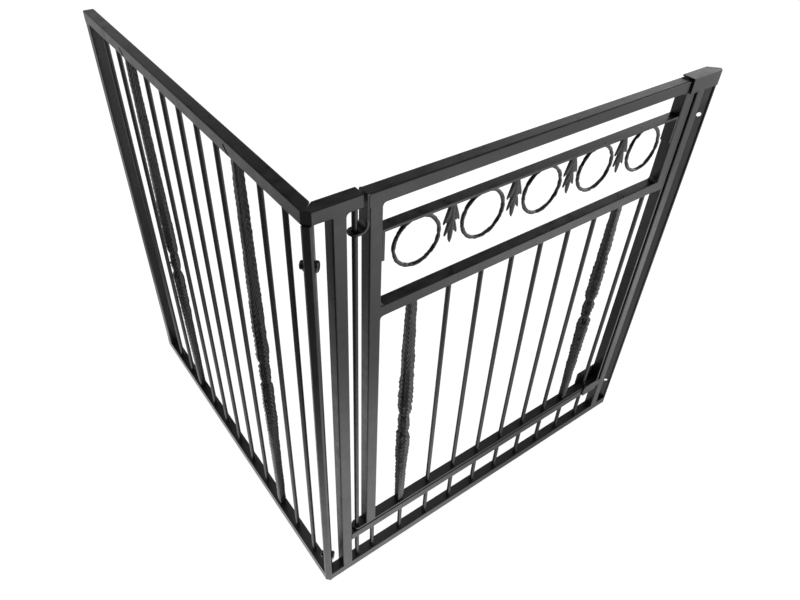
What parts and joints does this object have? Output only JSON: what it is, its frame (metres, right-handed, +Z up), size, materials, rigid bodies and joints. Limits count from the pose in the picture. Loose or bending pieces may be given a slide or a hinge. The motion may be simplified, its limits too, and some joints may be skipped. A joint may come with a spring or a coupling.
{
  "type": "garden gate",
  "caption": "Corner section of welded steel fence: a side panel bolted at a right angle to a gate panel, whose framed leaf swings inward on a long pivot rod and has a low barrel bolt.",
  "frame": {"origin": "centre of the foot of the whole object's box, on the floor, with the leaf closed", "axes": "+Z up, the gate panel runs along +X at the -Y side and shows its outer face to -Y, the side panel runs along +Y at the -X side and shows its outer face to -X"},
  "size_m": [1.0008, 0.984, 1.05],
  "materials": {
    "coated_steel": "satin black powder coat with a fine grain",
    "casting": "satin black coat over a cast surface",
    "fastener": "blackened zinc"
  },
  "bodies": {
    "frame": {"corner_bolts": "fastener", "corner_nuts": "fastener", "corner_washers": "fastener", "front_stop_plate": "coated_steel", "gate_bottom_rail": "coated_steel", "gate_corner_fin": "coated_steel", "gate_end_fin": "coated_steel", "gate_short_rail": "coated_steel", "gate_sill": "coated_steel", "hinge_post": "coated_steel", "kick_bars": "coated_steel", "latch_cap": "coated_steel", "latch_keeper": "coated_steel", "latch_post": "coated_steel", "pivot_rod": "coated_steel", "pivot_washer": "coated_steel", "side_bar_01": "coated_steel", "side_bar_02": "coated_steel", "side_bar_04": "coated_steel", "side_bar_05": "coated_steel", "side_bar_06": "coated_steel", "side_bar_07": "coated_steel", "side_bar_08": "coated_steel", "side_bar_10": "coated_steel", "side_bar_11": "coated_steel", "side_bottom_rail": "coated_steel", "side_corner_fin": "coated_steel", "side_end_stile": "coated_steel", "side_hammered_bar_03": "coated_steel", "side_hammered_bar_09": "coated_steel", "side_top_rail": "coated_steel"},
    "leaf": {"decor_ring_1": "coated_steel", "decor_ring_2": "coated_steel", "decor_ring_3": "coated_steel", "decor_ring_4": "coated_steel", "decor_ring_5": "coated_steel", "decor_strip": "coated_steel", "hinge_bracket": "coated_steel", "latch_plate": "coated_steel", "leaf_bar_2": "coated_steel", "leaf_bar_3": "coated_steel", "leaf_bar_4": "coated_steel", "leaf_bar_5": "coated_steel", "leaf_bar_6": "coated_steel", "leaf_bar_7": "coated_steel", "leaf_bar_9": "coated_steel", "leaf_bottom_flat": "coated_steel", "leaf_casting_1": "casting", "leaf_casting_2": "casting", "leaf_casting_3": "casting", "leaf_casting_4": "casting", "leaf_closing_flat": "coated_steel", "leaf_hammered_bar_1": "coated_steel", "leaf_hammered_bar_8": "coated_steel", "leaf_hinge_stile": "coated_steel", "leaf_latch_stile": "coated_steel", "leaf_mid_rail": "coated_steel", "leaf_top_rail": "coated_steel"},
    "bolt": {"latch_bolt": "coated_steel", "latch_knob": "coated_steel"}
  },
  "joints": [
    {"name": "leaf_hinge", "type": "hinge", "parent": "frame", "child": "leaf", "pos_m": [-0.40559, -0.4755, 0.5], "axis": [0, 0, 1], "range_deg": [0, 90]},
    {"name": "bolt_slide", "type": "slide", "parent": "leaf", "child": "bolt", "axis": [1, 0, 0], "range_m": [0, 0.024]}
  ]
}
